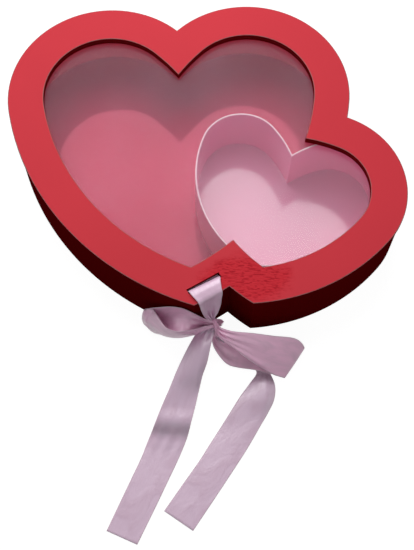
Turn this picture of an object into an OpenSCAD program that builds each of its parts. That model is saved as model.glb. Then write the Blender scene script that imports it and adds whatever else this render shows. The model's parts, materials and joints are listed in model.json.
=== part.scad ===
// Double heart gift box in rigid wrapped board. A big and a small heart share one outline. The deep
// lid slips over the walls of the base and lifts straight off. It has a clear window and a satin bow,
// and a loose heart-shaped tray stands inside. +Z is up, the box stands on z = 0, and the origin is
// midway between the lobe centres of the big heart. Lengths are in millimetres.

/* [Big heart] */
// Distance between its lobe centres
big_lobe_gap = 104.3; // [98:0.1:110]
// Radius of its lobes
big_lobe_r = 76.4; // [72:0.1:80]
// Radius of its long left side
big_side_r = 202.8; // [190:0.1:220]
// Radius of its right side, which ends in the short front edge
big_front_r = 211.5; // [200:0.1:220]
// Angle below the lobe centres where a lobe runs into a side
big_side_angle = 9.1; // [5:0.1:15]
// Radius of the flanks of its notch
big_notch_r = 173; // [150:1:190]
// Angle round the lobe where a flank starts
big_notch_angle = 133; // [128:1:140]
// Turn of the whole heart
big_turn = 3.2; // [0:0.1:8]
// How far round the tip the long left strip of a wall turns, before the front strip meets it
tip_wrap = 8; // [6:0.5:12]

/* [Small heart] */
// Distance between its lobe centres
small_lobe_gap = 52; // [46:0.1:56]
// Radius of its lobes
small_lobe_r = 62.8; // [58:0.1:68]
// Radius of its long sides
small_side_r = 141.6; // [132:0.1:150]
// Angle below the lobe centres where a lobe runs into a side
small_side_angle = 26; // [22:1:30]
// Radius of the flanks of its notch
small_notch_r = 133; // [110:1:140]
// Angle round the lobe where a flank starts
small_notch_angle = 80; // [75:1:90]
// Turn of the whole heart
small_turn = -13.8; // [-18:0.1:-8]
// Its middle to the right of the big heart's
small_x = 80; // [74:0.1:86]
// Its middle in front of the big heart's
small_y = 71.5; // [66:0.1:76]

/* [Base] */
// Thickness of the sheet glued under the base
underside_t = 0.5; // [0.3:0.1:1]
// Thickness of the floor board
floor_t = 2.5; // [2:0.1:4]
// Thickness of the glossy sheet on the floor
foil_t = 0.6; // [0.4:0.1:1]
// Thickness of the wall board
wall_t = 2.5; // [2:0.1:3.5]
// Thickness of the card that lines the walls
lining_t = 2; // [1:0.1:3]
// Step down from the top of a wall to the top of its lining
lining_step = 1; // [0.6:0.1:3]

/* [Lid] */
// Height of the closed box
box_h = 56; // [48:1:70]
// Width of the frame round the window
frame_w = 26.7; // [24:0.1:30]
// Thickness of the upper frame board
upper_board_t = 3; // [2:0.1:4]
// Thickness of the lower frame board
lower_board_t = 3; // [2:0.1:4]
// How far the upper board stands out over the rim
overhang = 1.1; // [0.5:0.1:2]
// Thickness of the rim board
rim_t = 2; // [1.5:0.1:3]
// Gap between the rim and the walls of the base
rim_gap = 0.75; // [0.5:0.05:1.5]
// Height of the rim's lower edge over the ground
rim_lift = 1; // [0.5:0.1:4]
// Thickness of the window film
film_t = 0.4; // [0.2:0.05:0.6]
// Width of film glued under the frame
film_lap = 8; // [5:0.5:10]

/* [Tray] */
// Distance between its lobe centres
tray_lobe_gap = 73.3; // [68:0.1:78]
// Radius of its lobes
tray_lobe_r = 30.9; // [27:0.1:33]
// Radius of its long sides
tray_side_r = 85.6; // [78:0.1:92]
// Angle above the lobe centres where a lobe runs into a side
tray_side_rise = 3; // [0:1:6]
// Radius of the flanks of its notch
tray_notch_r = 87.5; // [75:0.5:100]
// Angle round the lobe where a flank starts
tray_notch_angle = 124; // [116:1:132]
// Its turn beyond that of the small heart
tray_turn = -3.4; // [-6:0.1:0]
// Its middle to the right of the small heart's
tray_x = 2.8; // [0:0.1:5]
// Its middle behind the small heart's
tray_y = 17; // [14:0.5:20]
// Thickness of its card walls
tray_wall_t = 1.2; // [0.8:0.1:2]
// Thickness of its floor
tray_floor_t = 1.5; // [1:0.1:3]
// Gap between its rim and the window film
tray_gap = 0.6; // [0.5:0.1:5]

/* [Ribbon] */
// Width of the satin ribbon
ribbon_w = 25; // [20:1:26]
// Thickness of the ribbon
ribbon_t = 0.6; // [0.4:0.1:0.8]
// Distance from the lid's edge to the middle of the ribbon slot
slot_inset = 11; // [9:0.5:11.5]
// Width of the slot
slot_w = 4; // [3:0.5:5]
// Room at each end of the slot
slot_end_gap = 0.5; // [0.3:0.1:1.5]
// Length of ribbon glued between the frame boards
tab_l = 8; // [5:0.5:9]
// Depth of the pocket that holds the glued ribbon
pocket_t = 1; // [0.9:0.1:1.4]
// Radius of the knot
knot_r = 6; // [5:0.5:7]
// Height of the knot over the ground
knot_h = 26; // [22:1:30]
// Gap between the knot and the edge of the lid
knot_gap = 2.2; // [1.5:0.1:6]
// How far the knot hangs to the left of the middle of the slot
knot_left = 4; // [0:0.1:6]
// Reach of the left loop
left_loop_l = 51; // [44:1:56]
// Reach of the right loop
right_loop_l = 65; // [58:1:72]
// Length of the left tail
left_tail_l = 156; // [120:1:180]
// Length of the right tail
right_tail_l = 146; // [120:1:160]

/* [Hidden] */
$fn = 96;

// Overrun of the cutting shapes, and the reach of the shapes that pick one side
over = 1;
reach = 2 * big_front_r;
// Gap between a piece of ribbon and what it lies on
lie_gap = 0.3;
// How far inside a lobe the arc that runs out of it starts, so that the two cross cleanly
seam = 0.02;

// Colours
lit_red = "#c43743";
dark_red = "#5a0710";
foil_red = "#8c2036";
tray_pink = "#d9a3b8";
satin = "#cdb0bd";

// Insets from the outline of the lid
rim_in = overhang;
wall_in = rim_in + rim_t + rim_gap;
lining_in = wall_in + wall_t;

// Levels above the ground
floor_top = underside_t + floor_t;
foil_top = floor_top + foil_t;
upper_z = box_h - upper_board_t;
lower_z = upper_z - lower_board_t;
film_z = lower_z - film_t;
tray_top = film_z - tray_gap;

// The centre of the arc that runs out of the right-hand lobe at an angle below the lobe centres
function arc_centre(gap, lobe_r, arc_r, angle) =
    [gap / 2, 0] + (arc_r - lobe_r + seam) * [-cos(angle), sin(angle)];
function mirrored(p) = [-p[0], p[1]];
function turned(p, angle) = [p[0] * cos(angle) - p[1] * sin(angle), p[0] * sin(angle) + p[1] * cos(angle)];
// The lower of the two points where two circles cross
function crossing(a, ra, b, rb) =
    let (d = norm(b - a), along = (ra * ra - rb * rb + d * d) / (2 * d),
        across = sqrt(ra * ra - along * along), u = (b - a) / d,
        one = a + along * u + across * [-u[1], u[0]], two = a + along * u - across * [-u[1], u[0]])
    one[1] < two[1] ? one : two;

// The short front edge between the big tip and the small heart, where the ribbon hangs
small_at = [small_x, -small_y];
long_centre = mirrored(arc_centre(big_lobe_gap, big_lobe_r, big_side_r, big_side_angle));
front_centre = arc_centre(big_lobe_gap, big_lobe_r, big_front_r, big_side_angle);
small_centre = mirrored(arc_centre(small_lobe_gap, small_lobe_r, small_side_r, small_side_angle));
tip_from_front = crossing(long_centre, big_side_r, front_centre, big_front_r) - front_centre;
big_tip = turned(front_centre + tip_from_front, big_turn);
// A point across the joint where the long left strip, bent round the tip, meets the front strip
joint_angle = atan2(tip_from_front[1], tip_from_front[0]) + tip_wrap / big_front_r * 180 / PI;
function joint_at(inset) = front_centre + (big_front_r - inset) * [cos(joint_angle), sin(joint_angle)];
meeting = crossing(turned(front_centre, big_turn), big_front_r,
    small_at + turned(small_centre, small_turn), small_side_r);
edge_at = (big_tip + meeting) / 2;
edge_turn = atan2(meeting[1] - big_tip[1], meeting[0] - big_tip[0]);
knot_out = knot_gap + knot_r;

// A heart with its lobe centres on the X axis, drawn in from its outline by an inset
module heart(gap, lobe_r, left_r, right_r, side_angle, notch_r, notch_angle, inset) {
    lobe = gap / 2;
    intersection() {
        translate(mirrored(arc_centre(gap, lobe_r, left_r, side_angle))) circle(left_r - inset);
        translate(arc_centre(gap, lobe_r, right_r, side_angle)) circle(right_r - inset);
        polygon([[lobe, 0], [lobe + right_r * cos(side_angle), -right_r * sin(side_angle)],
            [0, -2 * right_r], [-lobe - left_r * cos(side_angle), -left_r * sin(side_angle)], [-lobe, 0]]);
    }
    for (s = [-1, 1]) scale([s, 1]) {
        translate([lobe, 0]) circle(lobe_r - inset);
        intersection() {
            translate(arc_centre(gap, lobe_r, notch_r, -notch_angle)) circle(notch_r - inset);
            polygon([[lobe, 0], [lobe + notch_r * cos(notch_angle), notch_r * sin(notch_angle)],
                [-lobe, notch_r * sin(notch_angle)], [-lobe, 0]]);
        }
    }
}

module big(inset) {
    rotate(big_turn)
        heart(big_lobe_gap, big_lobe_r, big_side_r, big_front_r, big_side_angle,
            big_notch_r, big_notch_angle, inset);
}

module small(inset) {
    translate(small_at) rotate(small_turn)
        heart(small_lobe_gap, small_lobe_r, small_side_r, small_side_r, small_side_angle,
            small_notch_r, small_notch_angle, inset);
}

module twin(inset) {
    big(inset);
    small(inset);
}

module at_tray() {
    translate(small_at + [tray_x, tray_y]) rotate(small_turn + tray_turn) children();
}

module tray(inset) {
    at_tray()
        heart(tray_lobe_gap, tray_lobe_r, tray_side_r, tray_side_r, -tray_side_rise,
            tray_notch_r, tray_notch_angle, inset);
}

// One half of the plane, right (1) or left (-1) of the Y axis
module half_plane(s) {
    translate([s * reach / 2, 0]) square([reach, 2 * reach], center = true);
}

// The bands that board of one thickness makes along each heart, where it is part of the outline
module big_band(from, t) {
    difference() {
        big(from);
        big(from + t);
        small(from);
    }
}

module small_band(from, t) {
    difference() {
        small(from);
        small(from + t);
        big(from + t);
    }
}

// The left part of the plane, as far as the notch and the joint beyond the tip
module left_part(from, t) {
    rotate(big_turn)
        polygon([[0, reach], [0, 0], joint_at(from + t + over), joint_at(from - over),
            [-reach, -reach], [-reach, reach]]);
}

// The five strips of a wall, each from one corner of the outline to the next
module big_left(from, t) {
    intersection() {
        big_band(from, t);
        left_part(from, t);
    }
}

module big_right(from, t) {
    difference() {
        big_band(from, t);
        left_part(from, t);
        translate([0, -reach - small_y]) square(2 * reach, center = true);
    }
}

module big_front(from, t) {
    difference() {
        big_band(from, t);
        left_part(from, t);
        translate([0, reach - small_y]) square(2 * reach, center = true);
    }
}

module small_left(from, t) {
    intersection() {
        small_band(from, t);
        translate(small_at) rotate(small_turn) half_plane(-1);
    }
}

module small_right(from, t) {
    intersection() {
        small_band(from, t);
        translate(small_at) rotate(small_turn) half_plane(1);
    }
}

// A flat layer between two levels
module layer(from, to) {
    translate([0, 0, from]) linear_extrude(to - from) children();
}

// The three rings of strips
module base_wall() {
    color(dark_red) layer(underside_t, lower_z) children();
}

module base_lining() {
    color(foil_red) layer(foil_top, lower_z - lining_step) children();
}

module lid_rim() {
    color(dark_red) layer(rim_lift, upper_z) children();
}

// The base
module underside_sheet() {
    color(dark_red) layer(0, underside_t) twin(wall_in);
}

module floor_board() {
    color("#b9a58c") layer(underside_t, floor_top) twin(lining_in);
}

module floor_foil() {
    color(foil_red) layer(floor_top, foil_top) twin(lining_in);
}

module wall_big_left() base_wall() big_left(wall_in, wall_t);
module wall_big_right() base_wall() big_right(wall_in, wall_t);
module wall_big_tip() base_wall() big_front(wall_in, wall_t);
module wall_small_left() base_wall() small_left(wall_in, wall_t);
module wall_small_right() base_wall() small_right(wall_in, wall_t);
module lining_big_left() base_lining() big_left(lining_in, lining_t);
module lining_big_right() base_lining() big_right(lining_in, lining_t);
module lining_big_tip() base_lining() big_front(lining_in, lining_t);
module lining_small_left() base_lining() small_left(lining_in, lining_t);
module lining_small_right() base_lining() small_right(lining_in, lining_t);

// The tray: a floor inside a wall of two bent strips
module tray_floor() {
    color(tray_pink) layer(foil_top, foil_top + tray_floor_t) tray(tray_wall_t);
}

module tray_wall(s) {
    color(tray_pink) layer(foil_top, tray_top) intersection() {
        difference() {
            tray(0);
            tray(tray_wall_t);
        }
        at_tray() half_plane(s);
    }
}

module tray_wall_left() tray_wall(-1);
module tray_wall_right() tray_wall(1);

// The place of the slot and its pocket: x along the front edge, y into the lid
module at_edge() {
    translate(edge_at) rotate(edge_turn) children();
}

module slot_outline() {
    at_edge() translate([0, slot_inset])
        square([ribbon_w + 2 * slot_end_gap, slot_w], center = true);
}

module pocket_outline() {
    at_edge() translate([-ribbon_w / 2 - slot_end_gap, slot_inset - slot_w / 2])
        square([ribbon_w + 2 * slot_end_gap, slot_w + tab_l + slot_end_gap]);
}

// The lid
module lid_upper_board() {
    color(lit_red) layer(upper_z, box_h) difference() {
        twin(0);
        twin(frame_w);
        slot_outline();
    }
}

module lid_lower_board() {
    color(lit_red) difference() {
        layer(lower_z, upper_z) difference() {
            twin(rim_in + rim_t);
            twin(frame_w);
        }
        layer(upper_z - pocket_t, upper_z + over) pocket_outline();
    }
}

module lid_window_film() {
    color("#e8e4ea", 0.35) layer(film_z, lower_z) twin(frame_w - film_lap);
}

module rim_big_left() lid_rim() big_left(rim_in, rim_t);
module rim_big_right() lid_rim() big_right(rim_in, rim_t);
module rim_big_tip() lid_rim() big_front(rim_in, rim_t);
module rim_small_left() lid_rim() small_left(rim_in, rim_t);
module rim_small_right() lid_rim() small_right(rim_in, rim_t);

// Points of a smooth curve through a list of points, with a few steps between each pair
curve_steps = 3;
function curve_point(a, b, c, d, t) =
    (2 * b + (c - a) * t + (2 * a - 5 * b + 4 * c - d) * t * t + (3 * b - a - 3 * c + d) * t * t * t) / 2;
function curve(p) = [for (i = [0 : len(p) - 2], k = [0 : curve_steps - 1])
        curve_point(p[max(i - 1, 0)], p[i], p[i + 1], p[min(i + 2, len(p) - 1)], k / curve_steps),
    p[len(p) - 1]];
// The same points, none lower than ribbon that lies on the ground
function above_ground(p) = [for (q = p) [q[0], q[1], max(q[2], lie_gap + ribbon_t / 2)]];

// A strip of ribbon between two edge curves, as a closed skin of the ribbon's thickness
module ribbon(left_edge, right_edge) {
    a = above_ground(curve(left_edge));
    b = above_ground(curve(right_edge));
    n = len(a);
    mid = (a + b) / 2;
    along = [for (i = [0 : n - 1]) mid[min(i + 1, n - 1)] - mid[max(i - 1, 0)]];
    face = [for (i = [0 : n - 1]) cross(along[i], b[i] - a[i])];
    half = [for (f = face) f / norm(f) * ribbon_t / 2];
    points = [for (i = [0 : n - 1]) each [a[i] + half[i], b[i] + half[i], b[i] - half[i], a[i] - half[i]]];
    skin = [for (i = [0 : n - 2], k = [0 : 3]) let (m = (k + 1) % 4)
        each [[4 * i + k, 4 * i + m, 4 * i + 4 + m], [4 * i + k, 4 * i + 4 + m, 4 * i + 4 + k]]];
    last = 4 * n - 4;
    ends = [[0, 3, 2], [0, 2, 1], [last, last + 1, last + 2], [last, last + 2, last + 3]];
    color(satin) polyhedron(points, concat(skin, ends));
}

// The ground under the knot
knot_at = edge_at + turned([-knot_left, -knot_out], edge_turn);

// A route's points from a piece's own shares: of its length in plan, and of the knot's height upwards
function route(shares, l) =
    [for (q = shares) [knot_at[0] + q[0] * l, knot_at[1] + q[1] * l, q[2] * knot_h]];

// The strap: glued in the pocket, up through the slot, over the edge and down to the knot
module ribbon_strap() {
    lid_lie = box_h + lie_gap + ribbon_t / 2;
    pocket_lie = upper_z - pocket_t / 2;
    bend = knot_gap / 3;
    // Place into the lid, height, share of the ribbon's width and share of the way left to the knot
    rows = [[slot_inset + slot_w / 2 + tab_l, pocket_lie, 1, 0], [slot_inset + slot_w / 4, pocket_lie, 1, 0],
        [slot_inset, upper_z + ribbon_t, 1, 0], [slot_inset - slot_w / 8, box_h - ribbon_t, 1, 0],
        [slot_inset - slot_w / 2, lid_lie, 0.97, 0], [slot_inset / 3, lid_lie + ribbon_t, 0.94, 0.05],
        [-lie_gap - ribbon_t, lid_lie, 0.9, 0.15], [-bend - ribbon_t, box_h - upper_board_t / 2, 0.86, 0.2],
        [-1.4 * bend - ribbon_t, lower_z, 0.76, 0.35], [-knot_gap, (2 * knot_h + lower_z) / 3, 0.5, 0.8],
        [-knot_out + knot_r / 2, knot_h + knot_r + lie_gap, 0.3, 1]];
    at_edge() ribbon([for (r = rows) [-r[2] * ribbon_w / 2 - r[3] * knot_left, r[0], r[1]]],
        [for (r = rows) [r[2] * ribbon_w / 2 - r[3] * knot_left, r[0], r[1]]]);
}

module ribbon_knot() {
    color(satin) translate([knot_at[0], knot_at[1], knot_h]) sphere(knot_r);
}

// The loops, from the knot round and back, as the upper and lower edge of the left one
left_loop_top_shares = [[-0.13, -0.02, 1.15], [-0.32, -0.03, 1.19], [-0.51, 0.02, 1.15],
    [-0.75, 0.1, 1.08], [-0.92, 0.14, 1], [-1, 0.09, 0.96], [-0.95, -0.01, 0.92],
    [-0.75, -0.12, 0.92], [-0.51, -0.17, 0.96], [-0.32, -0.16, 1.04], [-0.12, -0.06, 1.13]];
left_loop_low_shares = [[-0.13, 0, 0.85], [-0.32, -0.02, 0.46], [-0.53, -0.03, 0.23],
    [-0.75, 0.01, 0.12], [-0.92, 0.08, 0.06], [-0.99, 0.06, 0.04], [-0.92, -0.01, 0.04],
    [-0.73, -0.09, 0.04], [-0.51, -0.13, 0.06], [-0.32, -0.11, 0.31], [-0.12, -0.04, 0.87]];

module ribbon_loop_left() {
    ribbon(route(left_loop_top_shares, left_loop_l), route(left_loop_low_shares, left_loop_l));
}

// The edge of the right loop that is nearer the box, and its front edge
right_loop_back_shares = [[0.11, 0, 1.15], [0.24, -0.13, 1.15], [0.44, -0.15, 1.08], [0.69, -0.15, 0.88],
    [0.89, -0.15, 0.69], [1, -0.21, 0.46], [0.98, -0.21, 0.23], [0.81, -0.18, 0.15], [0.6, -0.14, 0.15],
    [0.38, -0.1, 0.23], [0.21, -0.05, 0.5], [0.09, -0.02, 0.84]];
right_loop_front_shares = [[0.08, -0.1, 1.02], [0.18, -0.24, 0.88], [0.35, -0.35, 0.69],
    [0.54, -0.48, 0.5], [0.69, -0.54, 0.4], [0.79, -0.56, 0.29], [0.76, -0.51, 0.17], [0.57, -0.45, 0.14],
    [0.34, -0.43, 0.11], [0.17, -0.36, 0.15], [0.04, -0.22, 0.5], [0.03, -0.1, 0.83]];

module ribbon_loop_right() {
    ribbon(route(right_loop_back_shares, right_loop_l), route(right_loop_front_shares, right_loop_l));
}

// The left and right edges of the tails, from the knot to the cut end on the ground
left_tail_left_shares = [[-0.028, -0.0225, 0.84], [-0.075, -0.065, 0.56], [-0.155, -0.18, 0.21],
    [-0.22, -0.335, 0.06], [-0.275, -0.51, 0.19], [-0.31, -0.585, 0.08], [-0.36, -0.71, 0],
    [-0.455, -0.94, 0]];
left_tail_right_shares = [[0, -0.035, 0.83], [0, -0.08, 0.54], [-0.045, -0.2, 0.19],
    [-0.085, -0.34, 0.06], [-0.115, -0.51, 0.19], [-0.15, -0.605, 0.08], [-0.205, -0.73, 0], [-0.32, -1, 0]];

module ribbon_tail_left() {
    ribbon(route(left_tail_left_shares, left_tail_l), route(left_tail_right_shares, left_tail_l));
}

right_tail_left_shares = [[0, -0.023, 0.76], [0.035, -0.065, 0.31], [0.095, -0.135, 0.05],
    [0.17, -0.195, 0], [0.22, -0.235, 0], [0.19, -0.275, 0], [0.135, -0.34, 0], [0.04, -0.495, 0],
    [-0.095, -0.71, 0], [-0.22, -0.9, 0]];
right_tail_right_shares = [[0.027, 0.014, 0.76], [0.095, 0.005, 0.31], [0.17, -0.035, 0.05],
    [0.265, -0.105, 0], [0.31, -0.22, 0.06], [0.315, -0.31, 0.13], [0.295, -0.385, 0.08], [0.2, -0.57, 0],
    [0.055, -0.79, 0], [-0.075, -1, 0]];

module ribbon_tail_right() {
    ribbon(route(right_tail_left_shares, right_tail_l), route(right_tail_right_shares, right_tail_l));
}

underside_sheet();
floor_board();
floor_foil();
wall_big_left();
wall_big_right();
wall_big_tip();
wall_small_left();
wall_small_right();
lining_big_left();
lining_big_right();
lining_big_tip();
lining_small_left();
lining_small_right();
tray_floor();
tray_wall_left();
tray_wall_right();
lid_upper_board();
lid_lower_board();
lid_window_film();
rim_big_left();
rim_big_right();
rim_big_tip();
rim_small_left();
rim_small_right();
ribbon_strap();
ribbon_knot();
ribbon_loop_left();
ribbon_loop_right();
ribbon_tail_left();
ribbon_tail_right();
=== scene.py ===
"""The double heart gift box, dressed: its wraps, its window, its card tray, its satin bow and its studio.

The CAD frame gives every board its shape and place. The tables of ribbon here are in millimetres, and
become metres where a mesh is made. +Z is up, and the bow hangs at the front, towards -Y.
"""

import json
import logging
import math
from collections.abc import Iterable, Sequence
from dataclasses import dataclass
from enum import Enum

import bmesh
import bpy
from mathutils import Matrix, Vector

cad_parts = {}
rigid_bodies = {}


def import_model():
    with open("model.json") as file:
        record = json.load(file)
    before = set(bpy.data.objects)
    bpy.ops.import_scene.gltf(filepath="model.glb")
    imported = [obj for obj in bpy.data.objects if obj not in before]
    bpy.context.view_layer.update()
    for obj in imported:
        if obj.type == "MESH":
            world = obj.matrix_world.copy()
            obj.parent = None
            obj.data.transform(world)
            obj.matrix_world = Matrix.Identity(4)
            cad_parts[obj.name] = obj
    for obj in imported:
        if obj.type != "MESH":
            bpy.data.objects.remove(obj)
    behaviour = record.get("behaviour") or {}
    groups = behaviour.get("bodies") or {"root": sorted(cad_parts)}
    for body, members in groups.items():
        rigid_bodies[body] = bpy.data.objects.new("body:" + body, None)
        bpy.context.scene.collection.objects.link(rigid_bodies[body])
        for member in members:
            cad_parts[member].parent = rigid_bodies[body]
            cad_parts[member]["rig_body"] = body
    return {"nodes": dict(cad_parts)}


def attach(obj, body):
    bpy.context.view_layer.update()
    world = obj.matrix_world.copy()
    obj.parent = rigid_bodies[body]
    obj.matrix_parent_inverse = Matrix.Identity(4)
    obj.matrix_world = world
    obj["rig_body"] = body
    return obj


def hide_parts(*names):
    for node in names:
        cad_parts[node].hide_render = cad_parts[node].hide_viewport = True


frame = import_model()

MM = 0.001
# The endings of the strips that go round the outline, from corner to corner
STRIPS = ("big_left", "big_right", "big_tip", "small_left", "small_right")
# Points closer than this are one, and faces flatter than this are joined
WELD = 0.003 * MM
FLAT_BEND = math.radians(0.3)
# An edge is level under the first rise, and upright over the second
LEVEL_RISE = 0.01 * MM
UPRIGHT_RISE = 0.3 * MM
# Bends over these angles are a board's long edge and the corner at its end
EDGE_BEND = math.radians(40)
CORNER_BEND = math.radians(60)
# Bends under this angle are shaded smoothly
SMOOTH_BEND = math.radians(35)
log = logging.getLogger("heart_box")

Colour = tuple[float, float, float]
Point = tuple[float, float, float]


class Body(Enum):
    """The bodies of the frame that a piece can ride on."""

    BASE = "base"
    LID = "lid"
    TRAY = "tray"


class Slot(Enum):
    """Those of the record's material slots that the rebuilt pieces are listed with."""

    RED_WRAP = "red_wrap"
    DARK_WRAP = "dark_wrap"
    FOIL_CARD = "foil_card"
    PINK_CARD = "pink_card"
    SATIN = "satin"


class Hold(Enum):
    """How a length of ribbon is held."""

    LAID = "laid"
    FOLDED = "folded"
    GATHERED = "gathered"


def piece(name: str, mesh: bpy.types.Mesh) -> bpy.types.Object:
    """Puts a mesh into the scene as a piece at the origin.

    Args:
        name: The piece's name.
        mesh: Its mesh, already in place.

    Returns:
        The new object.
    """
    made = bpy.data.objects.new(name, mesh)
    bpy.context.scene.collection.objects.link(made)
    return made


def report(made: bpy.types.Object) -> None:
    """Logs a piece's name, faces and body."""
    log.info("%s: %d faces, on %s", made.name, len(made.data.polygons), made.get("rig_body", "the stage"))


class Graph:
    """A node tree while it is wired."""

    def __init__(self, tree: bpy.types.NodeTree) -> None:
        """Keeps the tree to wire."""
        self.tree = tree

    def add(self, kind: str, feeds: dict | None = None, **settings: object) -> bpy.types.Node:
        """Adds a node.

        Args:
            kind: Its type, without the prefix "ShaderNode".
            feeds: What goes into its inputs, as for feed().
            settings: Its own properties.

        Returns:
            The node.
        """
        node = self.tree.nodes.new("ShaderNode" + kind)
        for name, value in settings.items():
            setattr(node, name, value)
        # A group has its inputs only once its tree is set, so they are fed last.
        return self.feed(node, feeds or {})

    def feed(self, node: bpy.types.Node, feeds: dict) -> bpy.types.Node:
        """Feeds a node's inputs.

        Args:
            node: The node.
            feeds: What goes into its inputs, by name or number: a value, or the output that is linked.

        Returns:
            The same node.
        """
        for key, value in feeds.items():
            if isinstance(value, bpy.types.NodeSocket):
                self.tree.links.new(value, node.inputs[key])
            else:
                node.inputs[key].default_value = value
        return node

    def math(self, operation: str, *values: object, clamp: bool = False) -> bpy.types.NodeSocket:
        """Works out one number from others."""
        node = self.add("Math", dict(enumerate(values)), operation=operation, use_clamp=clamp)
        return node.outputs[0]

    def ramp(self, value: object, low: float, high: float, to_low: float = 0.0, to_high: float = 1.0,
             ) -> bpy.types.NodeSocket:
        """Maps a value smoothly from one range to another, and holds it at the ends."""
        feeds = {"Value": value, "From Min": low, "From Max": high, "To Min": to_low, "To Max": to_high}
        return self.add("MapRange", feeds, interpolation_type="SMOOTHSTEP").outputs[0]

    def mix(self, factor: object, a: object, b: object, blend: str = "MIX") -> bpy.types.NodeSocket:
        """Mixes two colours by a factor."""
        node = self.add("Mix", {0: factor, 6: a, 7: b}, data_type="RGBA", blend_type=blend)
        return node.outputs[2]

    def grey(self, value: object) -> bpy.types.NodeSocket:
        """Makes a grey of one number."""
        return self.add("CombineColor", {0: value, 1: value, 2: value}).outputs[0]

    def seen(self) -> bpy.types.NodeSocket:
        """Gives 1 to the rays of the camera, of reflections and through the film, and 0 to the others."""
        path = self.add("LightPath")
        plain = self.math("ADD", path.outputs["Is Camera Ray"], path.outputs["Is Glossy Ray"])
        return self.math("ADD", plain, path.outputs["Is Transmission Ray"], clamp=True)

    def noise(self, vector: object, scale: object, detail: float = 2.0, rough: float = 0.5,
              warp: float = 0.0) -> bpy.types.NodeSocket:
        """Gives the height of a noise at a place."""
        feeds = {"Vector": vector, "Scale": scale, "Detail": detail, "Roughness": rough, "Distortion": warp}
        return self.add("TexNoise", feeds).outputs["Fac"]

    def place(self, vector: object, turn: float = 0.0, scale: Point = (1, 1, 1)) -> bpy.types.NodeSocket:
        """Turns a pattern's coordinates round Z and scales them."""
        return self.add("Mapping", {"Vector": vector, "Rotation": (0, 0, turn), "Scale": scale}).outputs[0]

    def bump(self, height: object, strength: float, distance: float, normal: object = None,
             ) -> bpy.types.NodeSocket:
        """Turns a height into a normal."""
        feeds = {"Height": height, "Strength": strength, "Distance": distance}
        if normal is not None:
            feeds["Normal"] = normal
        return self.add("Bump", feeds).outputs[0]


class Effects:
    """The node groups that several finishes share, each made once."""

    def __init__(self) -> None:
        """Makes the groups."""
        self.grain = self._grain()
        self.creases = self._creases()
        self.fold_wear_and_highlight = self._fold_wear_and_highlight()

    @staticmethod
    def _start(name: str, inputs: dict[str, tuple[str, object]], outputs: dict[str, str],
               ) -> tuple[bpy.types.NodeTree, Graph, bpy.types.Node, bpy.types.Node]:
        """Starts a group.

        Args:
            name: The group's name.
            inputs: The kind and the usual value of each input, by name.
            outputs: The kind of each output, by name.

        Returns:
            The tree, its graph, and its input and output nodes.
        """
        tree = bpy.data.node_groups.new(name, "ShaderNodeTree")
        for label, (kind, value) in inputs.items():
            socket = tree.interface.new_socket(label, in_out="INPUT", socket_type="NodeSocket" + kind)
            if value is not None:
                socket.default_value = value
        for label, kind in outputs.items():
            tree.interface.new_socket(label, in_out="OUTPUT", socket_type="NodeSocket" + kind)
        return tree, Graph(tree), tree.nodes.new("NodeGroupInput"), tree.nodes.new("NodeGroupOutput")

    def _grain(self) -> bpy.types.NodeTree:
        """Paper fibre: a fine height, and a tone near 1 that drifts slowly over the sheet."""
        tree, g, given, out = self._start(
            "paper_grain",
            {"Vector": ("Vector", None), "Fibre scale": ("Float", 900.0), "Cloud scale": ("Float", 14.0),
             "Spread": ("Float", 0.1)},
            {"Tone": "Float", "Height": "Float"})
        fibre = g.noise(given.outputs["Vector"], given.outputs["Fibre scale"], detail=3.0, rough=0.6)
        cloud = g.noise(given.outputs["Vector"], given.outputs["Cloud scale"])
        drift = g.math("ADD", g.math("MULTIPLY", cloud, 0.75), g.math("MULTIPLY", fibre, 0.25))
        swing = g.math("MULTIPLY", g.math("SUBTRACT", drift, 0.5), given.outputs["Spread"])
        g.feed(out, {"Tone": g.math("ADD", g.math("MULTIPLY", swing, 2.0), 1.0), "Height": fibre})
        return tree

    def _creases(self) -> bpy.types.NodeTree:
        """Short sharp creases, as in a sheet that was crumpled: the height, and a mask of the creases."""
        tree, g, given, out = self._start(
            "sheet_creases", {"Vector": ("Vector", None), "Scale": ("Float", 120.0)},
            {"Height": "Float", "Shade": "Float"})
        leaning = g.place(given.outputs["Vector"], turn=-0.8, scale=(1.0, 3.6, 1.0))
        crossing = g.place(given.outputs["Vector"], turn=0.25, scale=(1.0, 3.8, 1.0))
        scale = given.outputs["Scale"]
        a = g.noise(leaning, scale, detail=1.0, warp=0.4)
        b = g.noise(crossing, g.math("MULTIPLY", scale, 0.9), detail=1.0, warp=0.4)
        flecks = [g.ramp(height, 0.56, 0.68) for height in (a, b)]
        g.feed(out, {"Height": g.math("MULTIPLY", g.math("ADD", a, b), -1.0),
                     "Shade": g.math("MAXIMUM", *flecks)})
        return tree

    def _fold_wear_and_highlight(self) -> bpy.types.NodeTree:
        """The lighter line along a fold of the wrap, partly wear where the paper is stretched and partly
        painted highlight where the rounded fold catches the light: a mask, broken up along the fold.
        """
        tree, g, given, out = self._start(
            "fold_wear_and_highlight", {"Fold": ("Float", 0.0), "Vector": ("Vector", None)}, {"Mask": "Float"})
        wear = g.noise(given.outputs["Vector"], 260.0, rough=0.6)
        broken = g.ramp(wear, 0.3, 0.62, to_low=0.45)
        g.feed(out, {"Mask": g.math("MULTIPLY", given.outputs["Fold"], broken, clamp=True)})
        return tree


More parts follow.
